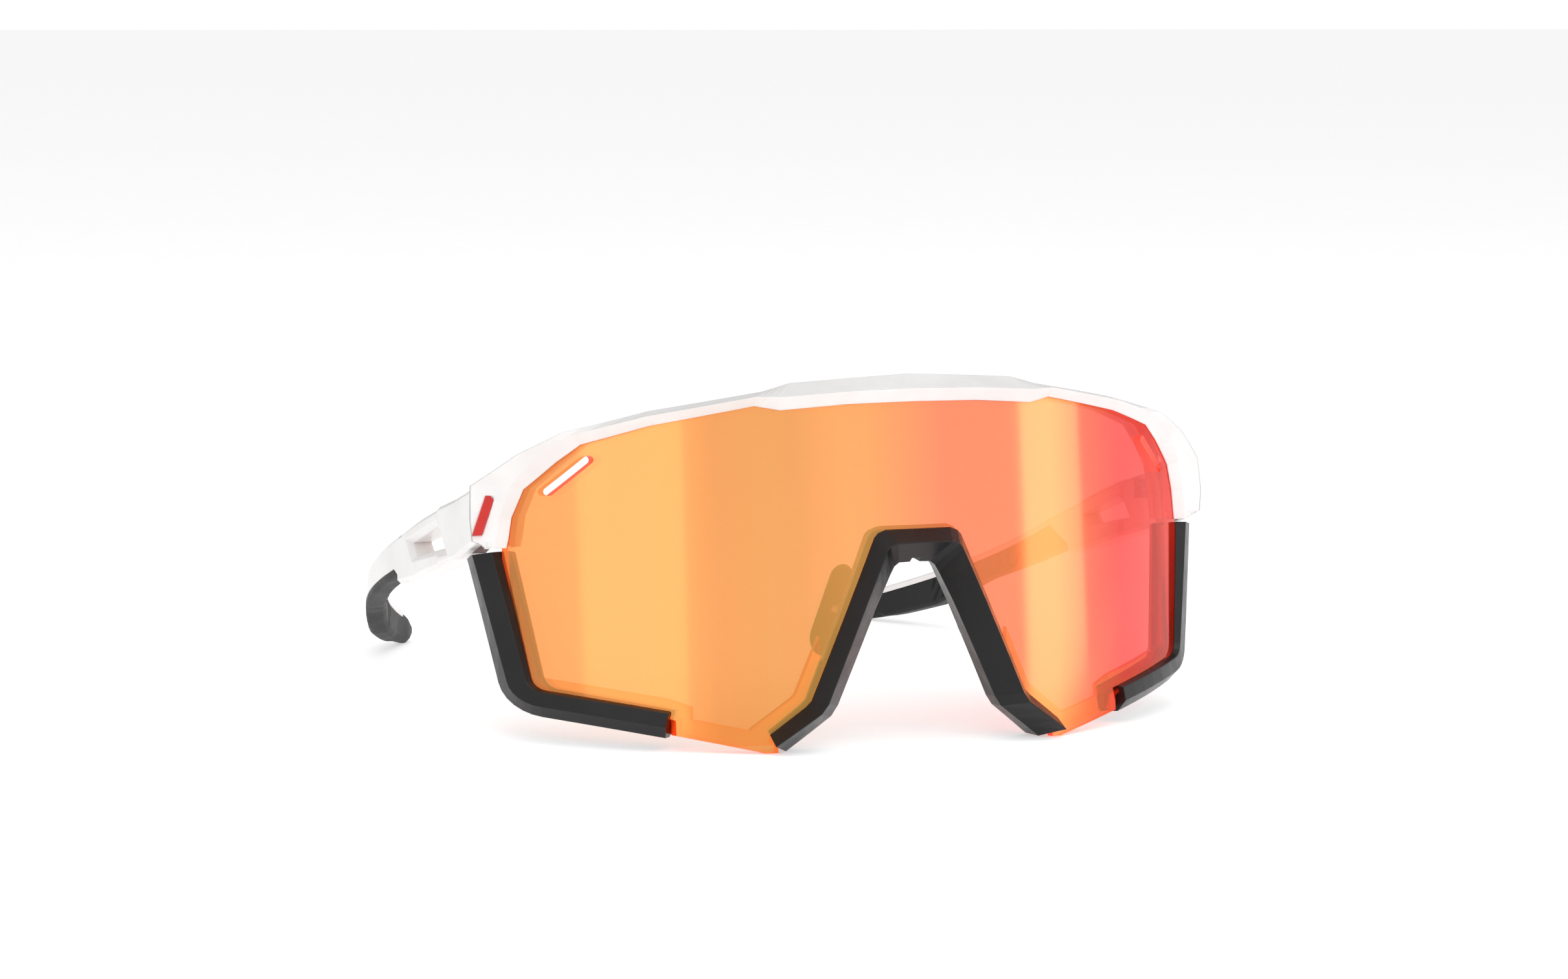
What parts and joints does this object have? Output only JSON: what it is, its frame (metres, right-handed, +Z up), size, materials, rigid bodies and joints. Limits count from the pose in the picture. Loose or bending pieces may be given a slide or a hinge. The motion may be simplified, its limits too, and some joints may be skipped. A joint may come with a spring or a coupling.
{
  "type": "wraparound sport sunglasses",
  "caption": "Wraparound sport sunglasses with a one-piece coral mirror shield lens, a white brow half-frame, black lower rims and nose arch, and folding temples with rubber ear socks.",
  "frame": {"origin": "on the ground, in the middle of the standing glasses: half way across and half way from the nose arch to the temple tips", "axes": "+Z up, X across the face, -Y the way the lens faces, +Y along the open temples"},
  "size_m": [0.1416, 0.1495, 0.0644],
  "materials": {
    "frame_white": "gloss white moulded nylon",
    "shield_lens": "coral mirror-coated polycarbonate",
    "rim_black": "satin black moulded nylon",
    "soft_rubber": "soft dark grey thermoplastic rubber",
    "spring_steel": "stamped stainless steel",
    "screw_steel": "turned steel, dark passivated",
    "badge_red": "gloss red plain inlay"
  },
  "bodies": {
    "front": {"brow_frame": "frame_white", "lens": "shield_lens", "rim_left": "rim_black", "rim_right": "rim_black", "nose_arch": "rim_black", "nose_pad_left": "soft_rubber", "nose_pad_right": "soft_rubber", "pad_core_left": "spring_steel", "pad_core_right": "spring_steel", "badge_plate": "badge_red", "front_leaf_left": "spring_steel", "front_leaf_right": "spring_steel", "hinge_screw_left": "screw_steel", "hinge_screw_right": "screw_steel"},
    "left_arm": {"temple_left": "frame_white", "ear_sock_left": "soft_rubber", "ear_core_left": "spring_steel", "temple_leaf_left": "spring_steel"},
    "right_arm": {"temple_right": "frame_white", "ear_sock_right": "soft_rubber", "ear_core_right": "spring_steel", "temple_leaf_right": "spring_steel"}
  },
  "joints": [
    {"name": "temple_left_fold", "type": "hinge", "parent": "front", "child": "left_arm", "pos_m": [-0.0658, -0.03243, 0.03848], "axis": [0, -0.1236, -0.9923], "range_deg": [0, 90]},
    {"name": "temple_right_fold", "type": "hinge", "parent": "front", "child": "right_arm", "pos_m": [0.0658, -0.03243, 0.03848], "axis": [0, 0.1236, 0.9923], "range_deg": [0, 80]}
  ]
}
